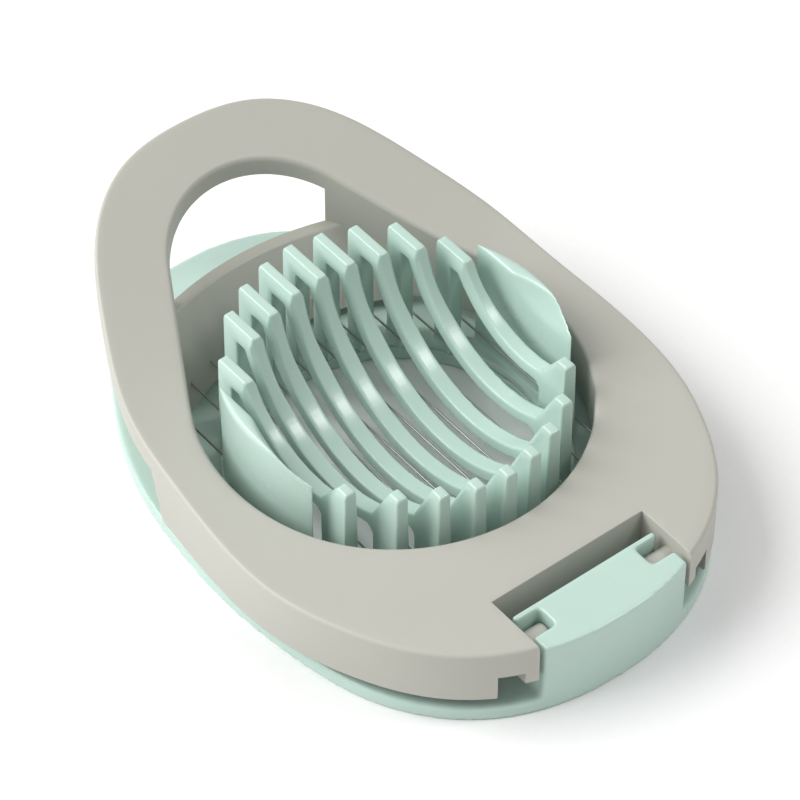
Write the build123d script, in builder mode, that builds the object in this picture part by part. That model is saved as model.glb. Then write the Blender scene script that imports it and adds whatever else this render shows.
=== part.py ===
"""Hand-held egg slicer: a flat base with a ribbed egg cradle, and a hinged lid strung with ten wires.

Millimetres.  X runs along the slicer (hinge at +X, handle at -X), Y across it, Z up.
The origin is on the table, under the middle of the closed slicer.
"""
from build123d import *
from math import sqrt
import os

# ---- overall -------------------------------------------------------------------------------
base_length = 124.8
base_width = 86.0
lid_length = 123.3
lid_width = 89.0
lid_front_inset = 0.2            # lid front edge behind the base front edge
handle_top = 38.2                # top of the raised handle, at its end

# ---- base ----------------------------------------------------------------------------------
plate_thickness = 3.0
foot_recess = 0.8                # hollow under the plate, so that it stands on its edge
foot_width = 3.5
base_hole_radius = 26.5

# ---- wires and ribs ------------------------------------------------------------------------
wire_pitch = 6.0
rib_count = 9
wire_diameter = 0.4
wire_height = 8.3                # wire centre above the table, lid closed
wire_clearance = 0.15            # round a wire, where it passes through a wall
rib_thickness = 3.1

# ---- cradle --------------------------------------------------------------------------------
cradle_x = 1.4                   # cradle centre
cradle_radius = 31.2
cradle_ring_width = 4.2
cradle_ring_height = 1.6
cradle_back_top = 30.6
outer_rib_back_top = 28.4
cradle_front_top = 24.2
back_top_length = 10.6
back_leg_thickness = 4.4
tooth_top_length = 2.6            # each rib ends at the front in a short tooth
tooth_ramp_length = 4.0
arch_corner_radius = 1.6
bowl_x = 8.0                     # middle of the egg hollow
bowl_z = 37.0
bowl_radius = 28.4
bowl_half_length = 32.2          # along the egg, across the slicer
strip_thickness = 2.6
bridge_thickness = 3.2           # flat top over the slot at the back of each rib
lobe_top = 28.2
lobe_clearance = 1.2             # from the outermost wire to an end lobe

# ---- lid -----------------------------------------------------------------------------------
lid_top = 16.6                   # flat front part of the lid
lid_wall = 2.0
lid_plate = 2.2
skirt_bottom = 5.2
skirt_rear_x = -9.0              # where the deep outer skirt ends, at its lower edge
skirt_rear_lean = 5.0
flange_depth = 3.8
hole_radius = 35.2               # egg hole, centred on the origin
handle_hole_radius = 20.8
handle_hole_x = -29.8
bridge_wall_x = -42.1            # top front edge of the wall between egg hole and handle hole
bridge_wall_radius = 56.3
bridge_wall_top = 18.0
bridge_wall_thickness = 2.4      # measured level, across the leaning wall
bridge_lean = 8.6                # how far its foot stands in front of its top
rise_start_x = 26.0              # the lid is flat from here to the hinge
low_rise = 2.0, 1.4              # at this x, the lid stands this much above its flat part
mid_rise = -18.3, 4.2
high_rise = -34.6, 10.0
handle_slope = 0.4

# ---- hinge ---------------------------------------------------------------------------------
hinge_from_front = 7.9
hinge_height = 11.3
pin_radius = 2.12
pin_clearance = 0.08             # running clearance, on the radius
pin_end_clearance = 0.5
block_half_width = 15.4
block_height = 15.6
block_back_wall = 1.4
slot_depth_y = 5.0
ear_gap = 1.0
ear_wall = 2.2
ear_bottom = 8.4
notch_gap = 3.7
ear_window_width = 4.2
ear_window_top = 10.9

# ---- wire ring under the lid ---------------------------------------------------------------
ring_gap = 0.05
ring_width = 2.6
ring_below_wire = 2.2
ring_above_wire = 2.4
ring_channel_gap = 0.4
wire_grip = 0.02                 # radial gap between a wire and its hole in the ring

# ---- worked out ----------------------------------------------------------------------------
half_x = base_length / 2
lid_front_x = half_x - lid_front_inset
lid_back_x = lid_front_x - lid_length
hinge_x = half_x - hinge_from_front
slot_half = pin_radius + pin_clearance
block_back_x = hinge_x - slot_half - block_back_wall
notch_x = block_back_x - notch_gap
notch_half = block_half_width + ear_gap
wire_radius = wire_diameter / 2
wire_y = [(i - rib_count / 2) * wire_pitch for i in range(rib_count + 1)]
rib_y = [(i - (rib_count - 1) / 2) * wire_pitch for i in range(rib_count)]
lobe_inner_y = wire_y[-1] + lobe_clearance
cradle_floor_z = plate_thickness + cradle_ring_height
bridge_wall_centre_x = bridge_wall_x + bridge_wall_radius
bridge_slope = bridge_lean / (bridge_wall_top - skirt_bottom)
bridge_floor_radius = bridge_wall_radius - bridge_slope * bridge_wall_top
bridge_back = bridge_wall_thickness - bridge_slope * (bridge_wall_top - wire_height - ring_above_wire)
hull_sine = (hole_radius - handle_hole_radius) / -handle_hole_x
hull_cosine = sqrt(1 - hull_sine ** 2)
skirt_end_x = skirt_rear_x - skirt_rear_lean
skirt_end_z = lid_top + mid_rise[1]
well_high = 60.0                 # taller than the slicer, for cutting tools

# Half outlines, as shares of half the length and half the width, from the hinge end round.
lid_outline = [(1.0, 0), (0.98, 0.27), (0.91, 0.521), (0.781, 0.728), (0.619, 0.867), (0.38, 0.98),
               (0.137, 1.0), (-0.129, 0.971), (-0.371, 0.921), (-0.604, 0.787), (-0.844, 0.573),
               (-0.965, 0.325), (-1.0, 0)]
base_outline = [(1.0, 0), (0.978, 0.279), (0.913, 0.519), (0.8, 0.719), (0.647, 0.863), (0.436, 0.951),
                (0.106, 1.0), (-0.103, 0.984), (-0.298, 0.942), (-0.502, 0.844), (-0.72, 0.677),
                (-0.888, 0.5), (-0.98, 0.24), (-1.0, 0)]


def closed_outline(shares, length, width, middle_x):
    """Points of a whole outline, mirrored across the X axis, in the slicer's frame."""
    upper = [(middle_x + sx * length / 2, sy * width / 2) for sx, sy in shares]
    lower = [(x, -y) for x, y in reversed(upper[1:-1])]
    return upper + lower


def bowl_radius_at(y):
    """Radius of the egg hollow in the slice at y."""
    return bowl_radius * sqrt(1 - (y / bowl_half_length) ** 2)


def cradle_reach(y):
    """Half length of the round cradle in the slice at y."""
    return sqrt(cradle_radius ** 2 - y ** 2)


def lid_top_curve(drop):
    """Draws the lid's top line, seen from the side, moved down by drop."""
    Spline((rise_start_x, lid_top - drop), (low_rise[0], lid_top + low_rise[1] - drop),
           (mid_rise[0], lid_top + mid_rise[1] - drop), (high_rise[0], lid_top + high_rise[1] - drop),
           (lid_back_x, handle_top - drop), (lid_back_x - 5, handle_top + 5 * handle_slope - drop),
           tangents=[(-1, 0), (-1, handle_slope)])
    Line((rise_start_x, lid_top - drop), (half_x + 5, lid_top - drop))


def keyhole(grow, reach):
    """Draws the lid's opening grown by grow, as far back as an arc reach beyond the bridge wall."""
    with BuildSketch(mode=Mode.PRIVATE) as opening:
        with BuildLine():
            big, small = hole_radius + grow, handle_hole_radius + grow
            for side in (1, -1):
                Line((-big * hull_sine, side * big * hull_cosine),
                     (handle_hole_x - small * hull_sine, side * small * hull_cosine))
            ThreePointArc((-big * hull_sine, big * hull_cosine), (big, 0),
                          (-big * hull_sine, -big * hull_cosine))
            ThreePointArc((handle_hole_x - small * hull_sine, small * hull_cosine),
                          (handle_hole_x - small, 0),
                          (handle_hole_x - small * hull_sine, -small * hull_cosine))
        make_face()
        if reach is not None:
            with Locations((bridge_wall_centre_x, 0)):
                Circle(bridge_wall_radius + reach, mode=Mode.INTERSECT)
    return opening.sketch


lid_middle_x = (lid_front_x + lid_back_x) / 2
lid_points = closed_outline(lid_outline, lid_length, lid_width, lid_middle_x)
lid_inner_points = closed_outline(lid_outline, lid_length - 2 * lid_wall, lid_width - 2 * lid_wall,
                                  lid_middle_x)
base_points = closed_outline(base_outline, base_length, base_width, 0)
foot_points = closed_outline(base_outline, base_length - 2 * foot_width, base_width - 2 * foot_width, 0)

os.makedirs("parts", exist_ok=True)


def save(piece, name):
    piece.label = name
    export_step(piece, f"parts/{name}.step")


# ---- base: flat plate, round hole under the cradle, hinge block with two pin slots ----------
with BuildPart() as base:
    with BuildSketch():
        with BuildLine():
            Spline(*base_points, periodic=True)
        make_face()
    extrude(amount=block_height)
    with BuildSketch(Plane.XY.offset(plate_thickness)):
        Rectangle(2 * base_length, 2 * base_width)
        with Locations((block_back_x, 0)):
            Rectangle(base_length, 2 * block_half_width, align=(Align.MIN, Align.CENTER),
                      mode=Mode.SUBTRACT)
    extrude(amount=block_height, mode=Mode.SUBTRACT)
    for side in (-1, 1):
        with BuildSketch(Plane.XZ.offset(-side * (block_half_width - slot_depth_y))):
            with Locations((hinge_x, hinge_height)):
                Circle(slot_half)
                Rectangle(2 * slot_half, block_height, align=(Align.CENTER, Align.MIN))
        extrude(amount=-side * (slot_depth_y + 1), mode=Mode.SUBTRACT)
    with Locations((cradle_x, 0, 0)):
        Cylinder(base_hole_radius, plate_thickness, align=(Align.CENTER, Align.CENTER, Align.MIN),
                 mode=Mode.SUBTRACT)
    with BuildSketch():
        with BuildLine():
            Spline(*foot_points, periodic=True)
        make_face()
        with Locations((cradle_x, 0)):
            Circle(base_hole_radius + foot_width, mode=Mode.SUBTRACT)
    extrude(amount=foot_recess, mode=Mode.SUBTRACT)
save(base.part, "base")


# ---- cradle: nine ribs and two end lobes on a ring, hollowed for the egg ---------------------
with BuildPart() as cradle:
    with BuildSketch(Plane.XY.offset(plate_thickness)):
        with Locations((cradle_x, 0)):
            Circle(cradle_radius)
            Circle(cradle_radius - cradle_ring_width, mode=Mode.SUBTRACT)
    extrude(amount=cradle_ring_height)
    for y in rib_y:
        reach = cradle_reach(abs(y) + rib_thickness / 2)
        back_x, front_x = cradle_x - reach, cradle_x + reach
        hollow = bowl_radius_at(y)
        outermost = abs(y) > rib_y[-1] - wire_pitch / 2
        back_top = outer_rib_back_top if outermost else cradle_back_top
        tooth_top_x = front_x - tooth_top_length
        tooth_foot_x = tooth_top_x - tooth_ramp_length
        tooth_foot_z = bowl_z - sqrt(hollow ** 2 - (tooth_foot_x - bowl_x) ** 2)
        with BuildSketch(Plane.XZ.offset(-y)):
            with BuildLine():
                Polyline((back_x, plate_thickness), (back_x, back_top), (back_x + back_top_length, back_top),
                         (bowl_x, bowl_z - hollow), (tooth_foot_x, tooth_foot_z),
                         (tooth_top_x, cradle_front_top), (front_x, cradle_front_top),
                         (front_x, plate_thickness), (back_x, plate_thickness))
            make_face()
            with BuildSketch(mode=Mode.PRIVATE) as egg_space:
                with Locations((bowl_x, bowl_z)):
                    Circle(hollow)
                with Locations((tooth_foot_x, 0)):
                    Rectangle(hollow, well_high, align=(Align.MIN, Align.MIN), mode=Mode.SUBTRACT)
            add(egg_space.sketch, mode=Mode.SUBTRACT)
            with BuildSketch(mode=Mode.PRIVATE) as arch:
                with Locations((back_x + back_leg_thickness, plate_thickness)):
                    Rectangle(tooth_foot_x - back_x - back_leg_thickness,
                              back_top - bridge_thickness - plate_thickness,
                              align=(Align.MIN, Align.MIN))
                with Locations((bowl_x, bowl_z)):
                    Circle(hollow + strip_thickness, mode=Mode.SUBTRACT)
                fillet(arch.vertices().group_by(Axis.X)[-1].sort_by(Axis.Y)[-1], arch_corner_radius)
            add(arch.sketch, mode=Mode.SUBTRACT)
        extrude(amount=rib_thickness / 2, both=True)
    for side in (-1, 1):
        with BuildSketch(Plane.XY.offset(cradle_floor_z)):
            with Locations((cradle_x, 0)):
                Circle(cradle_radius)
                with Locations((0, side * (lobe_inner_y + cradle_radius))):
                    Rectangle(2 * cradle_radius, 2 * cradle_radius, mode=Mode.INTERSECT)
        extrude(amount=lobe_top - cradle_floor_z)
    with BuildSketch(Plane.XY.offset(bowl_z)):
        with Locations((bowl_x, 0)):
            Ellipse(bowl_radius, bowl_half_length)
            Rectangle(bowl_radius, 2 * bowl_half_length, align=(Align.MIN, Align.CENTER),
                      mode=Mode.INTERSECT)
        with Locations((bowl_x, 0)):
            Rectangle(2 * bowl_radius, 2 * lobe_inner_y - rib_thickness, mode=Mode.SUBTRACT)
    revolve(axis=Axis((bowl_x, 0, bowl_z), (0, 1, 0)), mode=Mode.SUBTRACT)
save(cradle.part, "egg_cradle")


# ---- hollow under the lid's plate, round the walls of the egg hole and of the hinge notch ------
with BuildPart() as lid_cavity:
    with BuildSketch(Plane.XZ):
        with BuildLine():
            lid_top_curve(lid_plate)
            Polyline((half_x + 5, lid_top - lid_plate), (half_x + 5, 0), (lid_back_x - 5, 0),
                     (lid_back_x - 5, handle_top + 5 * handle_slope - lid_plate))
        make_face()
        with BuildLine():
            Polyline((skirt_rear_x, 0), (skirt_rear_x, skirt_bottom), (skirt_end_x, skirt_end_z),
                     (skirt_end_x + lid_wall, skirt_end_z), (skirt_rear_x + lid_wall, skirt_bottom),
                     (skirt_rear_x + lid_wall, 0), (skirt_rear_x, 0))
        make_face(mode=Mode.SUBTRACT)
    extrude(amount=lid_width, both=True)
    with BuildSketch():
        with BuildLine():
            Spline(*lid_inner_points, periodic=True)
        make_face()
        add(keyhole(lid_wall, None), mode=Mode.SUBTRACT)
        with Locations((notch_x - lid_wall, 0)):
            Rectangle(base_length, 2 * (notch_half + ear_wall), align=(Align.MIN, Align.CENTER),
                      mode=Mode.SUBTRACT)
    extrude(amount=well_high, mode=Mode.INTERSECT)


# ---- space under the thin handle, behind the deep outer skirt ----------------------------------
with BuildPart() as under_handle:
    with BuildSketch(Plane.XZ):
        with BuildLine():
            lid_top_curve(flange_depth)
            Polyline((half_x + 5, lid_top - flange_depth), (half_x + 5, 0), (lid_back_x - 5, 0),
                     (lid_back_x - 5, handle_top + 5 * handle_slope - flange_depth))
        make_face()
        with BuildLine():
            Polyline((skirt_rear_x, 0), (skirt_rear_x, skirt_bottom), (skirt_end_x, skirt_end_z),
                     (half_x + 5, well_high), (half_x + 5, 0), (skirt_rear_x, 0))
        make_face(mode=Mode.SUBTRACT)
    extrude(amount=lid_width, both=True)
    with BuildSketch():
        Rectangle(2 * base_length, 2 * base_width)
        add(keyhole(lid_wall, lid_wall), mode=Mode.SUBTRACT)
    extrude(amount=well_high, mode=Mode.INTERSECT)


# ---- egg hole, and the handle hole behind the leaning wall, up to the wall's top ---------------
with BuildPart() as egg_well:
    with BuildSketch():
        add(keyhole(0, None))
    extrude(amount=bridge_wall_top)
    with Locations((bridge_wall_centre_x, 0, 0)):
        Cone(bridge_floor_radius, bridge_wall_radius, bridge_wall_top,
             align=(Align.CENTER, Align.CENTER, Align.MIN), mode=Mode.INTERSECT)

with BuildPart() as handle_well:
    with BuildSketch():
        add(keyhole(0, None))
    extrude(amount=bridge_wall_top)
    with Locations((bridge_wall_centre_x, 0, 0)):
        Cone(bridge_floor_radius + bridge_wall_thickness, bridge_wall_radius + bridge_wall_thickness,
             bridge_wall_top, align=(Align.CENTER, Align.CENTER, Align.MIN), mode=Mode.SUBTRACT)


# ---- lid: thin raised frame with deep walls round the egg hole, and two hinge pins ----------
with BuildPart() as lid:
    with BuildSketch():
        with BuildLine():
            Spline(*lid_points, periodic=True)
        make_face()
    extrude(amount=well_high)
    with BuildSketch(Plane.XZ):
        with BuildLine():
            lid_top_curve(0)
            Polyline((half_x + 5, lid_top), (half_x + 5, skirt_bottom), (lid_back_x - 5, skirt_bottom),
                     (lid_back_x - 5, handle_top + 5 * handle_slope))
        make_face()
    extrude(amount=lid_width, both=True, mode=Mode.INTERSECT)
    add(lid_cavity.part, mode=Mode.SUBTRACT)
    add(under_handle.part, mode=Mode.SUBTRACT)
    with BuildSketch(Plane.XY.offset(bridge_wall_top)):
        add(keyhole(0, None))
    extrude(amount=well_high, mode=Mode.SUBTRACT)
    add(egg_well.part, mode=Mode.SUBTRACT)
    add(handle_well.part, mode=Mode.SUBTRACT)
    with BuildSketch():
        with Locations((notch_x, 0)):
            Rectangle(base_length, 2 * notch_half, align=(Align.MIN, Align.CENTER))
    extrude(amount=well_high, mode=Mode.SUBTRACT)
    for side in (-1, 1):
        with Locations((notch_x, side * (notch_half + ear_wall / 2), 0)):
            Box(base_length, ear_wall, ear_bottom, align=(Align.MIN, Align.CENTER, Align.MIN),
                mode=Mode.SUBTRACT)
        with Locations((notch_x, side * (notch_half + ear_wall + ear_window_width / 2), 0)):
            Box(base_length, ear_window_width, ear_window_top,
                align=(Align.MIN, Align.CENTER, Align.MIN), mode=Mode.SUBTRACT)
        with BuildSketch(Plane.XZ.offset(-side * (notch_half + ear_wall / 2))):
            with Locations((hinge_x, hinge_height)):
                Circle(pin_radius)
        extrude(amount=side * (ear_wall / 2 + ear_gap + slot_depth_y - pin_end_clearance))
    with BuildSketch():
        add(keyhole(lid_wall + ring_width + ring_channel_gap, bridge_back + ring_width + ring_channel_gap))
        add(keyhole(lid_wall, bridge_back), mode=Mode.SUBTRACT)
    extrude(amount=wire_height + ring_above_wire + ring_channel_gap, mode=Mode.SUBTRACT)
    with BuildSketch(Plane.YZ.offset(-half_x)):
        for y in wire_y:
            with Locations((y, wire_height)):
                Circle(wire_radius + wire_clearance)
    extrude(amount=half_x + hole_radius + lid_wall + ring_channel_gap, mode=Mode.SUBTRACT)
save(lid.part, "lid_frame")


# ---- wire ring: a loop clipped under the lid that holds both ends of every wire --------------
ring_inner, ring_outer = lid_wall + ring_gap, lid_wall + ring_gap + ring_width
with BuildPart() as wire_ring:
    with BuildSketch(Plane.XY.offset(wire_height - ring_below_wire)):
        add(keyhole(ring_outer, bridge_back + ring_gap + ring_width))
        add(keyhole(ring_inner, bridge_back + ring_gap), mode=Mode.SUBTRACT)
    extrude(amount=ring_below_wire + ring_above_wire)
    with BuildSketch(Plane.YZ.offset(-half_x)):
        for y in wire_y:
            with Locations((y, wire_height)):
                Circle(wire_radius + wire_grip)
    extrude(amount=2 * half_x, mode=Mode.SUBTRACT)
save(wire_ring.part, "wire_ring")


# ---- wires: straight, from the middle of the ring's front to the middle of its back ----------
for number, y in enumerate(wire_y, start=1):
    middle = ring_inner + ring_width / 2
    bridge_middle = bridge_wall_radius + bridge_back + ring_gap + ring_width / 2
    front_x = sqrt((hole_radius + middle) ** 2 - y ** 2)
    side_line_x = (abs(y) * hull_cosine - hole_radius - middle) / hull_sine
    bridge_arc_x = bridge_wall_centre_x - sqrt(bridge_middle ** 2 - y ** 2)
    back_x = max(side_line_x, bridge_arc_x)
    with BuildPart() as wire:
        with BuildSketch(Plane.YZ.offset(back_x)):
            with Locations((y, wire_height)):
                Circle(wire_radius)
        extrude(amount=front_x - back_x)
    save(wire.part, f"wire_{number:02d}")
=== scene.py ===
import bpy
import math
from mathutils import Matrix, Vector
from mathutils.bvhtree import BVHTree


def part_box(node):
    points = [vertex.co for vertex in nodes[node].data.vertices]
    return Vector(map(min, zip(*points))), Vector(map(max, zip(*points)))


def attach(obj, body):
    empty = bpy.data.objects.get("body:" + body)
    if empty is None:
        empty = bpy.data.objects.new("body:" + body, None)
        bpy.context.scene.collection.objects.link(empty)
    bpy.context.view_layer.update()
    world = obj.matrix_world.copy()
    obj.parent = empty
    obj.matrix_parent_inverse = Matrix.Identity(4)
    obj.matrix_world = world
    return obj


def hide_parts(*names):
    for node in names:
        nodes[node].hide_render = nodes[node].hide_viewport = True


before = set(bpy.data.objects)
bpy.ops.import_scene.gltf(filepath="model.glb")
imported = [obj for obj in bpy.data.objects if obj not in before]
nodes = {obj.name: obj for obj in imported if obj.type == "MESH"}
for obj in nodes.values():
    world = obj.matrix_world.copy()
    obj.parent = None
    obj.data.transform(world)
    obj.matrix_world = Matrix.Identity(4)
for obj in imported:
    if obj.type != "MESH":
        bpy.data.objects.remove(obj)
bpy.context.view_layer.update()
mm = 0.001
aboveAll, belowAll, besideAll = 100 * mm, -10 * mm, 80 * mm  # how far rays and cutting tools reach


def hexToLinear(hexColour):
    # sRGB hex to the linear numbers that Blender's shaders want
    channels = [int(hexColour[i:i + 2], 16) / 255 for i in (1, 3, 5)]
    return [c / 12.92 if c <= 0.04045 else ((c + 0.055) / 1.055) ** 2.4 for c in channels] + [1.0]


def addNode(tree, kind, inputs=None, **settings):
    # one node, its settings, and for each input a value or another node's output
    node = tree.nodes.new(kind)
    for name, value in settings.items():
        setattr(node, name, value)
    for name, value in (inputs or {}).items():
        if isinstance(value, bpy.types.NodeSocket):
            tree.links.new(value, node.inputs[name])
        else:
            node.inputs[name].default_value = value
    return node


def newMaterial(name):
    # an empty node material
    material = bpy.data.materials.new(name)
    material.use_nodes = True
    material.node_tree.nodes.clear()
    return material


def finishMaterial(material, shader):
    tree = material.node_tree
    addNode(tree, "ShaderNodeOutputMaterial", {"Surface": shader.outputs["BSDF"]})
    return material


def deselectAll():
    if bpy.context.object and bpy.context.object.mode != "OBJECT":
        bpy.ops.object.mode_set(mode="OBJECT")
    bpy.ops.object.select_all(action="DESELECT")


def makeActive(piece):
    deselectAll()
    piece.select_set(True)
    bpy.context.view_layer.objects.active = piece


def applyAll(piece):
    # every modifier into the mesh, in order
    makeActive(piece)
    for modifier in list(piece.modifiers):
        bpy.ops.object.modifier_apply(modifier=modifier.name)


def dress(piece, material, body, slotName, *replaced):
    # its finish, the body it moves with, and the CAD nodes that it stands for
    piece.data.materials.clear()
    piece.data.materials.append(material)
    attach(piece, body)
    if replaced:
        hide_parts(*replaced)


mintSettings = {
    "lit": "#BCD4CB",
    "deep": "#B2CBC1",
    "roughness": 0.2,
    "roughnessSwing": 0.08,
    "flowMm": 26,
    "grainMm": 0.9,
    "grainDepth": 0.012,
}


def mintMoulding():
    # ABS, injection moulded in a polished mould: pale mint, semi-gloss, faint flow clouding
    s = mintSettings
    material = newMaterial("mintMouldedAbs")
    tree = material.node_tree
    where = addNode(tree, "ShaderNodeTexCoord").outputs["Object"]
    flow = addNode(tree, "ShaderNodeTexNoise", {"Vector": where, "Scale": 1 / (s["flowMm"] * mm),
                                                "Detail": 3.0, "Roughness": 0.5})
    colour = addNode(tree, "ShaderNodeMix", {"Factor": flow.outputs["Fac"], "A": hexToLinear(s["deep"]),
                                             "B": hexToLinear(s["lit"])}, data_type="RGBA")
    grain = addNode(tree, "ShaderNodeTexNoise", {"Vector": where, "Scale": 1 / (s["grainMm"] * mm),
                                                 "Detail": 2.0})
    low, high = s["roughness"], s["roughness"] + s["roughnessSwing"]
    shine = addNode(tree, "ShaderNodeMapRange", {"Value": flow.outputs["Fac"], "From Min": 0.3,
                                                 "From Max": 0.7, "To Min": low, "To Max": high})
    relief = addNode(tree, "ShaderNodeBump", {"Height": grain.outputs["Fac"], "Strength": 0.25,
                                              "Distance": s["grainDepth"] * mm})
    shader = addNode(tree, "ShaderNodeBsdfPrincipled",
                     {"Base Color": colour.outputs["Result"], "Roughness": shine.outputs["Result"],
                      "Normal": relief.outputs["Normal"], "IOR": 1.52, "Subsurface Weight": 0.12,
                      "Subsurface Scale": 1.2 * mm, "Subsurface Radius": (1.0, 1.0, 1.0)})
    return finishMaterial(material, shader)


greySettings = {
    "lit": "#B7B6AD",
    "deep": "#B0AFA6",
    "roughness": 0.38,
    "roughnessSwing": 0.1,
    "flowMm": 40,
    "grainMm": 0.45,
    "grainDepth": 0.02,
}


def greyMoulding():
    # ABS, injection moulded in a spark-eroded mould: warm light grey, satin, a very fine even grain
    s = greySettings
    material = newMaterial("warmGreySatinAbs")
    tree = material.node_tree
    where = addNode(tree, "ShaderNodeTexCoord").outputs["Object"]
    flow = addNode(tree, "ShaderNodeTexNoise", {"Vector": where, "Scale": 1 / (s["flowMm"] * mm),
                                                "Detail": 4.0, "Roughness": 0.55})
    colour = addNode(tree, "ShaderNodeMix", {"Factor": flow.outputs["Fac"], "A": hexToLinear(s["deep"]),
                                             "B": hexToLinear(s["lit"])}, data_type="RGBA")
    grain = addNode(tree, "ShaderNodeTexVoronoi", {"Vector": where, "Scale": 1 / (s["grainMm"] * mm)},
                    feature="SMOOTH_F1")
    low, high = s["roughness"], s["roughness"] + s["roughnessSwing"]
    shine = addNode(tree, "ShaderNodeMapRange", {"Value": flow.outputs["Fac"], "From Min": 0.3,
                                                 "From Max": 0.7, "To Min": low, "To Max": high})
    relief = addNode(tree, "ShaderNodeBump", {"Height": grain.outputs["Distance"], "Strength": 0.2,
                                              "Distance": s["grainDepth"] * mm})
    shader = addNode(tree, "ShaderNodeBsdfPrincipled",
                     {"Base Color": colour.outputs["Result"], "Roughness": shine.outputs["Result"],
                      "Normal": relief.outputs["Normal"], "IOR": 1.5, "Subsurface Weight": 0.05,
                      "Subsurface Scale": 1.0 * mm, "Subsurface Radius": (1.0, 1.0, 1.0)})
    return finishMaterial(material, shader)


wireSettings = {
    "bright": "#B4B4B1",
    "dull": "#8E8E8B",
    "roughness": 0.3,
    "drawMm": 0.25,
    "drawStretch": 0.02,
}


def drawnWire():
    # stainless spring wire, drawn through a die: bright, with fine streaks that run along it
    s = wireSettings
    material = newMaterial("drawnStainlessWire")
    tree = material.node_tree
    where = addNode(tree, "ShaderNodeTexCoord").outputs["Object"]
    along = addNode(tree, "ShaderNodeMapping", {"Vector": where, "Scale": (s["drawStretch"], 1, 1)})
    streaks = addNode(tree, "ShaderNodeTexNoise", {"Vector": along.outputs["Vector"],
                                                   "Scale": 1 / (s["drawMm"] * mm), "Detail": 2.0})
    colour = addNode(tree, "ShaderNodeMix", {"Factor": streaks.outputs["Fac"], "A": hexToLinear(s["dull"]),
                                             "B": hexToLinear(s["bright"])}, data_type="RGBA")
    shine = addNode(tree, "ShaderNodeMapRange", {"Value": streaks.outputs["Fac"], "To Min": s["roughness"],
                                                 "To Max": 2 * s["roughness"]})
    shader = addNode(tree, "ShaderNodeBsdfPrincipled",
                     {"Base Color": colour.outputs["Result"], "Roughness": shine.outputs["Result"],
                      "Metallic": 1.0})
    return finishMaterial(material, shader)


def plainFloor():
    # matt white studio paper
    material = newMaterial("whiteStudioPaper")
    tree = material.node_tree
    where = addNode(tree, "ShaderNodeTexCoord").outputs["Object"]
    fibre = addNode(tree, "ShaderNodeTexNoise", {"Vector": where, "Scale": 900.0})
    colour = addNode(tree, "ShaderNodeMix", {"Factor": fibre.outputs["Fac"], "A": hexToLinear("#F4F4F3"),
                                             "B": hexToLinear("#F7F7F7")}, data_type="RGBA")
    shader = addNode(tree, "ShaderNodeBsdfPrincipled", {"Base Color": colour.outputs["Result"],
                                                        "Roughness": 0.9, "Specular IOR Level": 0.1})
    return finishMaterial(material, shader)


mint, grey, steel = mintMoulding(), greyMoulding(), drawnWire()
print("materials made")

cradleShape = {
    "voxel": 0.25 * mm,
    "smoothing": 12,
    "keep": 0.24,
    "lobeFromY": 27 * mm,
    "lobeFromZ": 9 * mm,
    "lobeFade": 4 * mm,
    "lobeSmoothing": 36,
}
baseShape = {
    "voxel": 0.4 * mm,
    "smoothing": 10,
    "keep": 0.34,
}


def softenedCopy(node, name, shape):
    # a copy of a CAD moulding with every edge rounded, as a mould leaves it
    piece = bpy.data.objects.new(name, nodes[node].data.copy())
    bpy.context.scene.collection.objects.link(piece)
    makeActive(piece)
    bpy.ops.object.mode_set(mode="EDIT")
    bpy.ops.mesh.select_all(action="SELECT")
    bpy.ops.mesh.remove_doubles(threshold=0.002 * mm)  # the copy is loose triangles until now
    bpy.ops.object.mode_set(mode="OBJECT")
    skin = piece.modifiers.new("skin", "REMESH")
    skin.mode = "VOXEL"
    skin.voxel_size = shape["voxel"]
    applyAll(piece)
    if "lobeSmoothing" in shape:
        smoothLobes(piece, shape)
    rounding = piece.modifiers.new("rounding", "SMOOTH")
    rounding.factor = 0.5
    rounding.iterations = shape["smoothing"]
    thinning = piece.modifiers.new("thinning", "DECIMATE")
    thinning.ratio = shape["keep"]  # flat faces need few triangles, edges keep theirs
    applyAll(piece)
    bpy.ops.object.shade_smooth()
    return piece


def smoothLobes(piece, shape):
    # the lobes that hold the egg's ends have fuller rounds than the ribs
    lobes = piece.vertex_groups.new(name="lobes")
    for vertex in piece.data.vertices:
        rise = vertex.co.z - shape["lobeFromZ"]
        if abs(vertex.co.y) > shape["lobeFromY"] and rise > 0:
            lobes.add([vertex.index], min(rise / shape["lobeFade"], 1), "REPLACE")
    fuller = piece.modifiers.new("fuller", "SMOOTH")
    fuller.factor = 0.5
    fuller.iterations = shape["lobeSmoothing"]
    fuller.vertex_group = lobes.name
    applyAll(piece)


def smoothStep(low, high, value):
    share = min(max((value - low) / (high - low), 0), 1)
    return share * share * (3 - 2 * share)


def surfaceOf(node):
    # a CAD node's surface, to feel heights on
    mesh = nodes[node].data
    return BVHTree.FromPolygons([v.co for v in mesh.vertices], [list(f.vertices) for f in mesh.polygons])


def heightAt(surface, x, y):
    # height of the highest CAD surface at a place, or 0 where there is none
    hit = surface.ray_cast(Vector((x, y, aboveAll)), Vector((0, 0, -1)))[0]
    return hit.z if hit else 0.0


toothShape = {
    "ribs": 9,
    "pitch": 6 * mm,
    "halfWidth": 1.8 * mm,
    "from": 16 * mm,
    "fullAt": 26 * mm,
    "depth": 1.9 * mm,
    "narrowing": 0.38,
}


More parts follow.
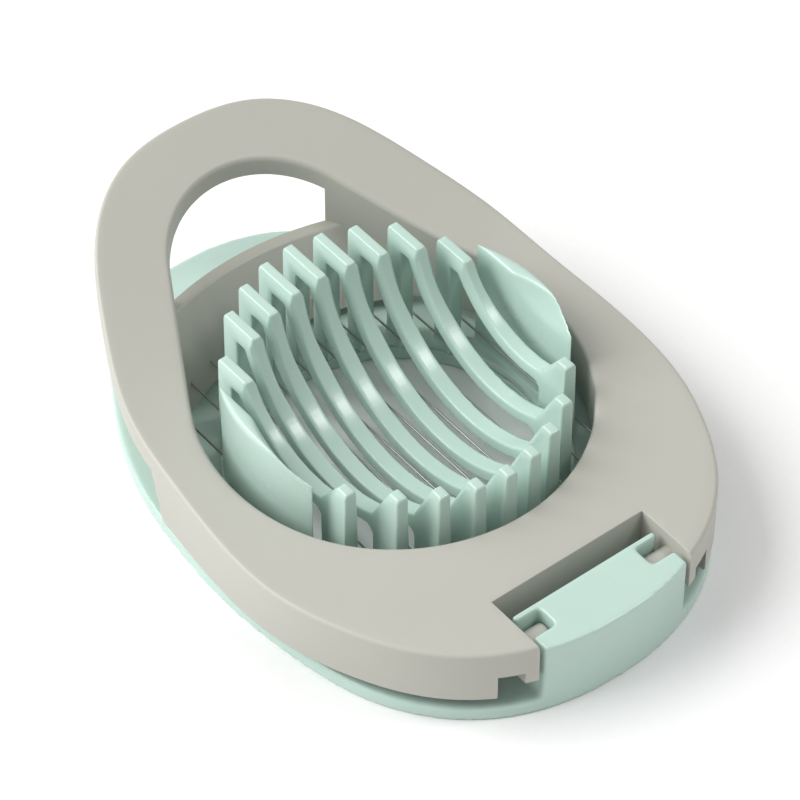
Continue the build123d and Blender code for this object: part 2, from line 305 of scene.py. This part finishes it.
def narrowTeeth(piece):
    # the ends of the ribs get thinner towards their tops, so that a wire finds the slot beside them
    shape, surface = toothShape, surfaceOf("egg_cradle")
    for vertex in piece.data.vertices:
        x, y, z = vertex.co
        number = round(y / shape["pitch"])
        middle = number * shape["pitch"]
        onRib = abs(number) <= shape["ribs"] // 2 and abs(y - middle) <= shape["halfWidth"]
        crest = heightAt(surface, x, middle) if onRib and z >= shape["from"] else 0
        if crest > z - mm:
            amount = smoothStep(shape["from"], shape["fullAt"], crest)
            amount *= smoothStep(crest - shape["depth"], crest, z)
            vertex.co.y = middle + (y - middle) * (1 - shape["narrowing"] * amount)


cradle = softenedCopy("egg_cradle", "eggCradle", cradleShape)
narrowTeeth(cradle)
dress(cradle, mint, "base_body", "mint_plastic", "egg_cradle")
basePlate = softenedCopy("base", "basePlate", baseShape)
dress(basePlate, mint, "base_body", "mint_plastic", "base")
print("cradle and base made")


def gridShape(name, rows):
    # a grid primitive laid over rows of points; rows and columns that meet are merged into a closed skin
    deselectAll()
    bpy.ops.mesh.primitive_grid_add(x_subdivisions=len(rows[0]) - 1, y_subdivisions=len(rows) - 1)
    piece = bpy.context.object
    piece.name = name
    for vertex, point in zip(piece.data.vertices, [point for row in rows for point in row]):
        vertex.co = point
    tidyMesh(piece)
    return piece


def tidyMesh(piece):
    # points that meet become one, and faces point outwards
    makeActive(piece)
    bpy.ops.object.mode_set(mode="EDIT")
    bpy.ops.mesh.select_all(action="SELECT")
    bpy.ops.mesh.remove_doubles(threshold=0.001 * mm)
    bpy.ops.mesh.normals_make_consistent(inside=False)
    bpy.ops.object.mode_set(mode="OBJECT")


def prismTool(points, low, high):
    # a closed upright prism over a ring of points
    deselectAll()
    bpy.ops.mesh.primitive_cylinder_add(vertices=len(points), radius=1, depth=2)
    tool = bpy.context.object
    for vertex in tool.data.vertices:
        turn = math.atan2(vertex.co.x, vertex.co.y) / (2 * math.pi)
        point = points[round(turn * len(points)) % len(points)]
        vertex.co = (point[0], point[1], high if vertex.co.z > 0 else low)
    tidyMesh(tool)
    return tool


def boxTool(low, high):
    # a block between two corners
    deselectAll()
    bpy.ops.mesh.primitive_cube_add(size=1, location=[(a + b) / 2 for a, b in zip(low, high)],
                                    scale=[b - a for a, b in zip(low, high)])
    bpy.ops.object.transform_apply(location=True, rotation=False, scale=True)
    return bpy.context.object


def carve(piece, tool, operation="DIFFERENCE"):
    # the tool is used up: it cuts the piece, joins it, or keeps what lies inside it
    makeActive(piece)
    cut = piece.modifiers.new("carve", "BOOLEAN")
    cut.operation = operation
    cut.solver = "EXACT"
    cut.object = tool
    bpy.ops.object.modifier_apply(modifier=cut.name)
    bpy.data.objects.remove(tool)


def roundEdges(piece, radius, segments):
    # every edge sharper than sharpAngle gets a round
    makeActive(piece)
    bevel = piece.modifiers.new("edges", "BEVEL")
    bevel.width = radius
    bevel.segments = segments
    bevel.limit_method = "ANGLE"
    bevel.angle_limit = math.radians(sharpAngle)
    bevel.use_clamp_overlap = False
    bpy.ops.object.modifier_apply(modifier=bevel.name)


sharpAngle = 40  # degrees
lidShape = {  # one thin-walled channel round the egg hole and the handle hole
    "sections": 240,
    "acrossTop": 8,
    "centreX": -10 * mm,
    "frontInset": 0.2 * mm,
    "overPins": 15.6 * mm,  # higher than this in front, it is the lid's top
    "overBridge": 18.6 * mm,  # and higher than this behind
    "wall": 2.0 * mm,
    "plate": 2.2 * mm,
    "flangeDepth": 3.8 * mm,
    "skirtEndX": -9.0 * mm,
    "skirtEndLean": 5.0 * mm,
    "skirtEndRise": 15.6 * mm,
    "skirtEndShare": 0.68,  # of the lean, where the slanted end meets the flange
    "toolRear": -70 * mm,
    "toolLow": -5 * mm,
    "edgeRadius": 0.8 * mm,
    "notchX": 47.2 * mm,
    "notchHalf": 16.4 * mm,
    "notchRound": 0.4 * mm,
    "earWall": 2.2 * mm,
    "earBottom": 8.4 * mm,
    "windowWidth": 4.2 * mm,
    "windowTop": 10.9 * mm,
    "overlap": 0.01 * mm,
}
bridgeShape = {  # the wall between the two holes
    "centreX": 14.2 * mm,
    "topRadius": 56.3 * mm,
    "lean": 8.6 * mm,
    "thickness": 2.4 * mm,
    "top": 18.0 * mm,
    "frontX": -20 * mm,
    "segments": 236,
    "edgeRadius": 0.5 * mm,
}
pinShape = {  # one on each ear
    "x": 54.5 * mm,
    "height": 11.3 * mm,
    "radius": 2.12 * mm,
    "length": 6.6 * mm,
    "middleY": 14.2 * mm,
    "edgeRadius": 0.3 * mm,
}


def lidOutlines():
    # edges of the lid's top in each direction, and its height along X, felt out on the CAD lid
    shape, surface = lidShape, surfaceOf("lid_frame")
    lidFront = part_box("base")[1].x - shape["frontInset"]

    def onPlate(x, y):
        return heightAt(surface, x, y) > (shape["overPins"] if x > shape["centreX"] else shape["overBridge"])

    outer, inner = [], []
    for number in range(shape["sections"]):
        turn = 2 * math.pi * number / shape["sections"]
        step = Vector((math.cos(turn), math.sin(turn)))
        middle = Vector((shape["centreX"], 0))
        reaches = [number * mm for number in range(20, 80)]
        found = [reach for reach in reaches if onPlate(*(middle + step * reach))]
        edges = []
        for on, off in ((found[0], found[0] - mm), (found[-1], found[-1] + mm)):
            for _ in range(14):  # halves the doubt each time, from a millimetre to a tenth of a micron
                half = (on + off) / 2
                on, off = (half, off) if onPlate(*(middle + step * half)) else (on, half)
            edges.append(middle + step * on)
        inner.append(edges[0])
        outer.append(edges[1])
    rim = [point for point in outer if point.x > shape["notchX"] + mm and abs(point.y) > shape["notchHalf"]]
    corner = min(rim, key=lambda point: abs(point.y))
    for point in outer:  # across the hinge notch the outline runs on as a flat curve
        if point.x > 0 and abs(point.y) <= abs(corner.y):
            point.x = lidFront - (lidFront - corner.x) * (point.y / corner.y) ** 2
    places = [shape["centreX"] + (number - 60) * mm for number in range(134)]
    heights = []
    for x in places:
        onIt = [y * mm for y in range(44, 0, -1) if onPlate(x, y * mm)]
        heights.append(heightAt(surface, x, onIt[0] - 0.5 * mm) if onIt else None)
    known = [(x, z) for x, z in zip(places, heights) if z]
    return outer, inner, known


outer, inner, topLine = lidOutlines()


def topAt(x):
    # height of the lid's top at a place along X
    for (x0, z0), (x1, z1) in zip(topLine, topLine[1:]):
        if x0 <= x <= x1:
            return z0 + (z1 - z0) * (x - x0) / (x1 - x0)
    near = topLine[:2] if x < topLine[0][0] else topLine[-2:]
    (x0, z0), (x1, z1) = near
    return z0 + (z1 - z0) * (x - x0) / (x1 - x0)


def movedIn(points, amount):
    # each point of a ring moved square to the ring, towards its inside
    moved = []
    for number, point in enumerate(points):
        along = (points[(number + 1) % len(points)] - points[number - 1]).normalized()
        moved.append(point + Vector((-along.y, along.x)) * amount)
    return moved


def channelRows():
    # the section all the way round: outside wall, top, inside wall, and back under the plate
    shape = lidShape
    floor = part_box("lid_frame")[0].z
    outerBack, innerBack = movedIn(outer, shape["wall"]), movedIn(inner, -shape["wall"])
    rows = [[(p.x, p.y, floor) for p in outer]]
    for step in range(shape["acrossTop"] + 1):
        line = [a.lerp(b, step / shape["acrossTop"]) for a, b in zip(outer, inner)]
        rows.append([(p.x, p.y, topAt(p.x)) for p in line])
    rows += [[(p.x, p.y, floor) for p in inner], [(p.x, p.y, floor) for p in innerBack]]
    for step in range(shape["acrossTop"] + 1):
        line = [a.lerp(b, step / shape["acrossTop"]) for a, b in zip(innerBack, outerBack)]
        rows.append([(p.x, p.y, topAt(p.x) - shape["plate"]) for p in line])
    rows += [[(p.x, p.y, floor) for p in outerBack]]
    rows.append(rows[0])
    return [row + row[:1] for row in rows]


def underLidTool(rearX, lean):
    # everything lower than the flange, from behind the handle to a slanted end
    shape, low = lidShape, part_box("lid_frame")[0].z
    end = rearX - lean * shape["skirtEndShare"]
    places = [shape["toolRear"]]
    while places[-1] + 1.5 * mm < end:
        places.append(places[-1] + mm)
    topRow = [(x, topAt(x) - shape["flangeDepth"]) for x in places + [end]]
    footX = rearX + lean * (low - shape["toolLow"]) / shape["skirtEndRise"]
    outline = topRow + [(footX, shape["toolLow"]), (places[0], shape["toolLow"])]
    tool = prismTool(outline, -besideAll, besideAll)
    for vertex in tool.data.vertices:  # laid on its side, with its height along Y
        x, z, y = vertex.co
        vertex.co = (x, y, z)
    tidyMesh(tool)
    return tool


def makeLid():
    shape = lidShape
    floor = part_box("lid_frame")[0].z
    lid = gridShape("lidFrame", channelRows())
    roundEdges(lid, shape["edgeRadius"], 4)
    between = [a.lerp(b, 0.5) for a, b in zip(outer, inner)]
    # the outer skirt ends where the handle begins to rise
    skirtTool = underLidTool(shape["skirtEndX"], shape["skirtEndLean"])
    carve(skirtTool, prismTool(between, belowAll, aboveAll))
    carve(lid, skirtTool)
    # the inner wall ends at the bridge
    wallTool = underLidTool(0, 0)
    carve(wallTool, prismTool(between, belowAll, aboveAll), "INTERSECT")
    bridge = bridgeShape
    reach = bridge["topRadius"] + shape["wall"]
    turns = [2 * math.pi * number / shape["sections"] for number in range(shape["sections"])]
    arc = [(bridge["centreX"] + reach * math.sin(turn), reach * math.cos(turn)) for turn in turns]
    carve(wallTool, prismTool(arc, belowAll, aboveAll))
    carve(lid, wallTool)
    print("lid channel made")
    # walls round the hinge notch, then the notch, the ears and their windows
    notch, half = shape["notchX"], shape["notchHalf"]
    ear, underTop = half + shape["earWall"], topAt(notch) - shape["plate"] / 2
    block = boxTool((notch - shape["wall"], -ear, floor), (besideAll, ear, underTop))
    carve(block, prismTool(movedIn(outer, shape["wall"] / 2), belowAll, aboveAll), "INTERSECT")
    carve(lid, block, "UNION")
    carve(lid, boxTool((notch, -half, belowAll), (besideAll, half, aboveAll)))
    for side in (-1, 1):
        for near, far, top in ((half, ear, shape["earBottom"]),
                               (ear, ear + shape["windowWidth"], shape["windowTop"])):
            low, high = sorted((side * near, side * far))
            carve(lid, boxTool((notch, low - shape["overlap"], belowAll), (besideAll, high, top)))
    roundNotch(lid)
    print("hinge notch made")
    return lid


def roundNotch(lid):
    # the sharp edges that the notch leaves in the lid's top and front get a small round
    shape, near = lidShape, lidShape["overlap"]
    makeActive(lid)
    sides = {}
    for face in lid.data.polygons:
        for key in face.edge_keys:
            sides.setdefault(key, []).append(face.normal)

    def onNotch(point):
        onSide = abs(abs(point.y) - shape["notchHalf"]) < near and point.x > shape["notchX"] - near
        onBack = abs(point.x - shape["notchX"]) < near and abs(point.y) < shape["notchHalf"] + near
        return point.z > shape["windowTop"] + near and (onSide or onBack)

    places = [vertex.co for vertex in lid.data.vertices]
    for thing in (*lid.data.vertices, *lid.data.edges, *lid.data.polygons):
        thing.select = False
    for edge in lid.data.edges:
        around = sides[edge.key]
        if len(around) == 2 and around[0].angle(around[1], 0) > math.radians(sharpAngle):
            edge.select = all(onNotch(places[number]) for number in edge.vertices)
    bpy.ops.object.mode_set(mode="EDIT")
    bpy.ops.mesh.select_mode(type="EDGE")
    bpy.ops.mesh.bevel(offset=shape["notchRound"], segments=3, affect="EDGES", clamp_overlap=True)
    bpy.ops.object.mode_set(mode="OBJECT")


def addBridge(lid):
    # the wall between the two holes leans back from its foot, so from the egg's side it is a slope
    shape = bridgeShape
    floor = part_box("lid_frame")[0].z
    topIn, thick = shape["topRadius"], shape["thickness"]
    footIn = topIn - shape["lean"]
    section = [(footIn, floor), (topIn, shape["top"]), (topIn + thick, shape["top"]), (footIn + thick, floor)]
    turns = [2 * math.pi * n / shape["segments"] for n in range(shape["segments"] + 1)]
    rows = [[(shape["centreX"] + radius * math.cos(turn), radius * math.sin(turn), z) for turn in turns]
            for radius, z in section + section[:1]]
    wall = gridShape("bridgeWall", rows)
    roundEdges(wall, shape["edgeRadius"], 3)
    carve(wall, prismTool(movedIn(inner, -lidShape["wall"] / 2), belowAll, aboveAll), "INTERSECT")
    behind = boxTool((-besideAll, -besideAll, belowAll), (shape["frontX"], besideAll, aboveAll))
    carve(wall, behind, "INTERSECT")
    carve(lid, wall, "UNION")


def addPins(lid):
    # the pins reach into the slots of the hinge block
    hinge = pinShape
    for side in (-1, 1):
        deselectAll()
        bpy.ops.mesh.primitive_cylinder_add(vertices=40, radius=hinge["radius"], depth=hinge["length"],
                                            location=(hinge["x"], side * hinge["middleY"], hinge["height"]),
                                            rotation=(math.pi / 2, 0, 0))
        bpy.ops.object.transform_apply(location=True, rotation=True, scale=True)
        pin = bpy.context.object
        roundEdges(pin, hinge["edgeRadius"], 3)
        carve(lid, pin, "UNION")


lid = makeLid()
addBridge(lid)
addPins(lid)
bpy.ops.object.shade_smooth_by_angle(angle=math.radians(35))
dress(lid, grey, "lid_body", "grey_plastic", "lid_frame")
print("lid made")

for name, node in nodes.items():
    if name.startswith("wire_") and name != "wire_ring":
        node.data.materials.clear()
        node.data.materials.append(steel)
# the wires and their ring keep the CAD's shape
nodes["wire_ring"].data.materials.clear()
nodes["wire_ring"].data.materials.append(grey)
print("wires dressed")

studio = {
    "floorSize": 6.0,
    "keyPlace": (-0.5, -0.65, 0.7),
    "keySize": 0.9,
    "keyPower": 13.5,
    "topPlace": (0.35, 0.43, 0.83),
    "topSize": 0.21,
    "topPower": 2.0,
    "skyStrength": 0.48,
}

deselectAll()
bpy.ops.mesh.primitive_plane_add(size=studio["floorSize"], location=(0, 0, 0))
floor = bpy.context.object
floor.name = "studioFloor"
floor.data.materials.append(plainFloor())


def softLight(name, place, size, power):
    bpy.ops.object.light_add(type="AREA", location=place)
    light = bpy.context.object
    light.name = name
    light.data.shape = "SQUARE"
    light.data.size = size
    light.data.energy = power
    light.rotation_euler = (-Vector(place)).to_track_quat("-Z", "Y").to_euler()


softLight("keySoftbox", studio["keyPlace"], studio["keySize"], studio["keyPower"])
softLight("topSoftbox", studio["topPlace"], studio["topSize"], studio["topPower"])

world = bpy.data.worlds.new("studioSky")
bpy.context.scene.world = world
world.use_nodes = True
world.node_tree.nodes["Background"].inputs["Color"].default_value = (1, 1, 1, 1)
world.node_tree.nodes["Background"].inputs["Strength"].default_value = studio["skyStrength"]

cameraSettings = {
    "aimX": 0.0015,
    "aimY": 0.0005,
    "aimHeight": 0.0166,
    "distance": 0.6297,
    "azimuth": 51.65,
    "elevation": 45.9,
    "lens": 163.2,
}

bpy.ops.object.camera_add()
camera = bpy.context.object
azimuth = math.radians(cameraSettings["azimuth"])
elevation = math.radians(cameraSettings["elevation"])
forward = Vector((-math.sin(azimuth) * math.cos(elevation), math.cos(azimuth) * math.cos(elevation),
                  -math.sin(elevation)))
aim = Vector((cameraSettings["aimX"], cameraSettings["aimY"], cameraSettings["aimHeight"]))
camera.location = aim - forward * cameraSettings["distance"]
camera.rotation_euler = forward.to_track_quat("-Z", "Y").to_euler()
camera.data.lens = cameraSettings["lens"]
camera.data.sensor_width = 36
bpy.context.scene.camera = camera
bpy.context.scene.view_settings.view_transform = "Standard"
print("studio set")
